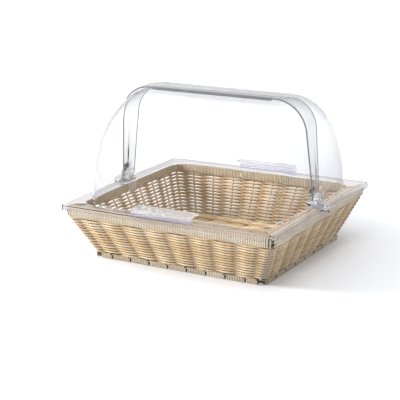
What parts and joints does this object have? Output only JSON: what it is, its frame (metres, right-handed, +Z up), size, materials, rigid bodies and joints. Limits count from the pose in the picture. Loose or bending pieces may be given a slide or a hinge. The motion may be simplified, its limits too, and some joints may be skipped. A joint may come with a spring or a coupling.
{
  "type": "roll-top display basket",
  "caption": "Flared woven counter basket with a clear roll-top cover: a frame that drops over the rim and two nested quarter shells that open front and rear.",
  "frame": {"origin": "middle of the footprint, on the surface that the basket stands on", "axes": "+X to the right as seen from the front, -Y to the front where the front handle is, +Z up"},
  "size_m": [0.3782, 0.339, 0.2537],
  "materials": {
    "woven_strand": "half-round plastic strand woven close, straw coloured with paler and browner strands",
    "woven_binding": "plastic strand wound side by side round the wires",
    "frame_wire": "dark coated steel wire",
    "clear_cover": "clear polished polycarbonate",
    "clear_fittings": "clear moulded polycarbonate",
    "clear_handle": "clear polycarbonate with a faint blue violet tint",
    "steel_pin": "plain steel"
  },
  "bodies": {
    "basket": {"base_wire": "frame_wire", "corner_posts": "frame_wire", "cross_ribs": "frame_wire", "floor_weave": "woven_strand", "front_base_wrap": "woven_binding", "front_left_corner_wrap": "woven_binding", "front_right_corner_wrap": "woven_binding", "front_rim_wrap": "woven_binding", "front_weave": "woven_strand", "left_base_wrap": "woven_binding", "left_rim_wrap": "woven_binding", "left_weave": "woven_strand", "rear_base_wrap": "woven_binding", "rear_left_corner_wrap": "woven_binding", "rear_right_corner_wrap": "woven_binding", "rear_rim_wrap": "woven_binding", "rear_weave": "woven_strand", "right_base_wrap": "woven_binding", "right_rim_wrap": "woven_binding", "right_weave": "woven_strand", "rim_wire": "frame_wire", "side_ribs": "frame_wire"},
    "cover": {"cover_frame": "clear_cover", "left_pivot_bracket": "clear_fittings", "right_pivot_bracket": "clear_fittings", "left_pivot_pin": "clear_fittings", "right_pivot_pin": "clear_fittings", "left_retaining_pin": "steel_pin", "right_retaining_pin": "steel_pin"},
    "front_lid": {"front_shell": "clear_cover", "front_handle": "clear_handle"},
    "rear_lid": {"rear_shell": "clear_cover", "rear_handle": "clear_handle", "rear_edge_bead": "clear_cover"}
  },
  "joints": [
    {"name": "cover_lift", "type": "slide", "parent": "basket", "child": "cover", "axis": [0, 0, 1], "range_m": [0, 0.12]},
    {"name": "front_lid_hinge", "type": "hinge", "parent": "cover", "child": "front_lid", "pos_m": [0, 0, 0.1007], "axis": [-1, 0, 0], "range_deg": [0, 39.5]},
    {"name": "rear_lid_hinge", "type": "hinge", "parent": "cover", "child": "rear_lid", "pos_m": [0, 0, 0.1007], "axis": [1, 0, 0], "range_deg": [0, 39.5]}
  ]
}
